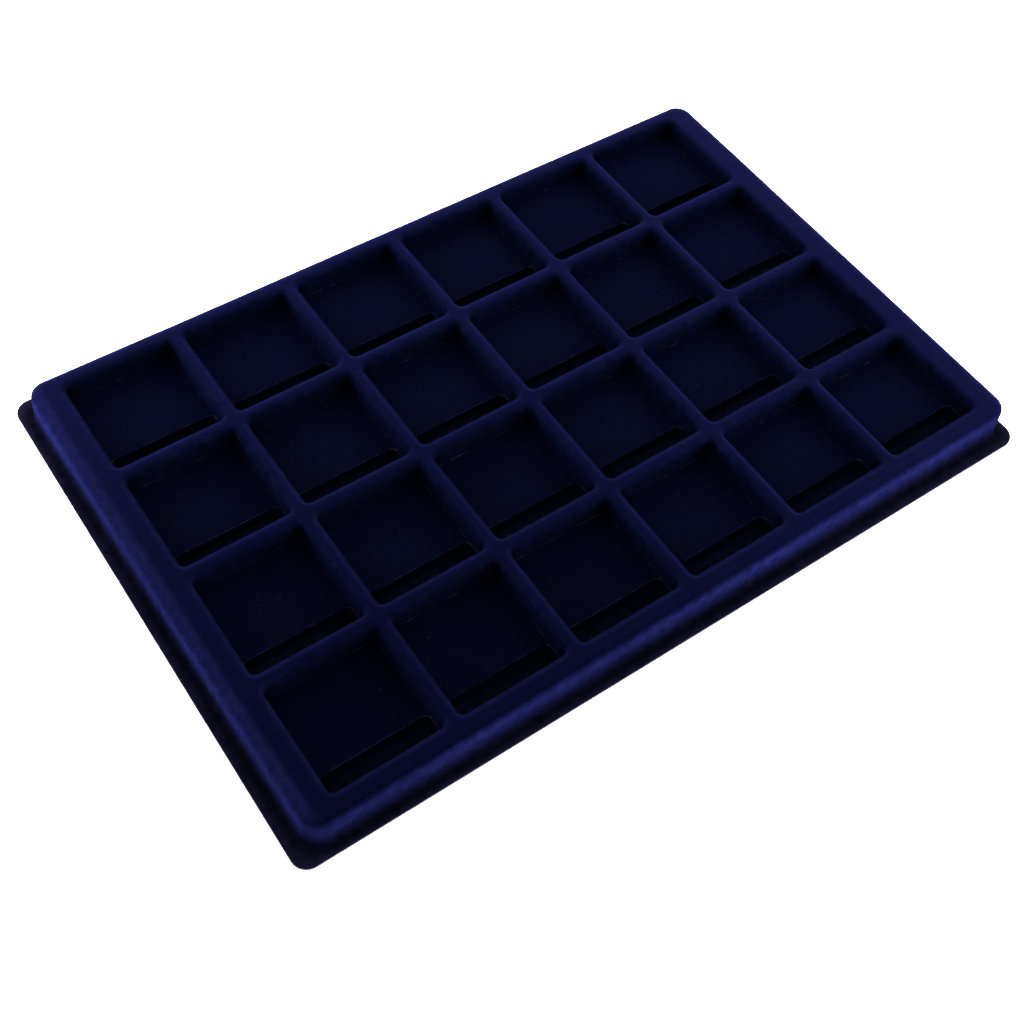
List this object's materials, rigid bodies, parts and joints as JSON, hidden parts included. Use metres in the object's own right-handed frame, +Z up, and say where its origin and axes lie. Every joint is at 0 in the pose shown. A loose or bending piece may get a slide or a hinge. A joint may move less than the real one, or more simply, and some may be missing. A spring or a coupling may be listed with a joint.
{
  "type": "coin display tray",
  "caption": "Flocked vacuum-formed coin display tray with a grid of square compartments, finger troughs and a low outer flange.",
  "frame": {"origin": "middle of the tray on the plane it rests on, the underside of the flange", "axes": "+X along the long side; -Y is the front, the side of each compartment with the finger trough; +Z up, out of the compartments"},
  "size_m": [0.331, 0.2222, 0.016],
  "materials": {
    "carrier_plastic": "thermoformed navy polystyrene, satin underside",
    "navy_flock": "short electrostatic flock pile, velvet navy blue"
  },
  "bodies": {
    "root": {"carrier_sheet": "carrier_plastic", "flock_pile": "navy_flock"}
  },
  "joints": []
}
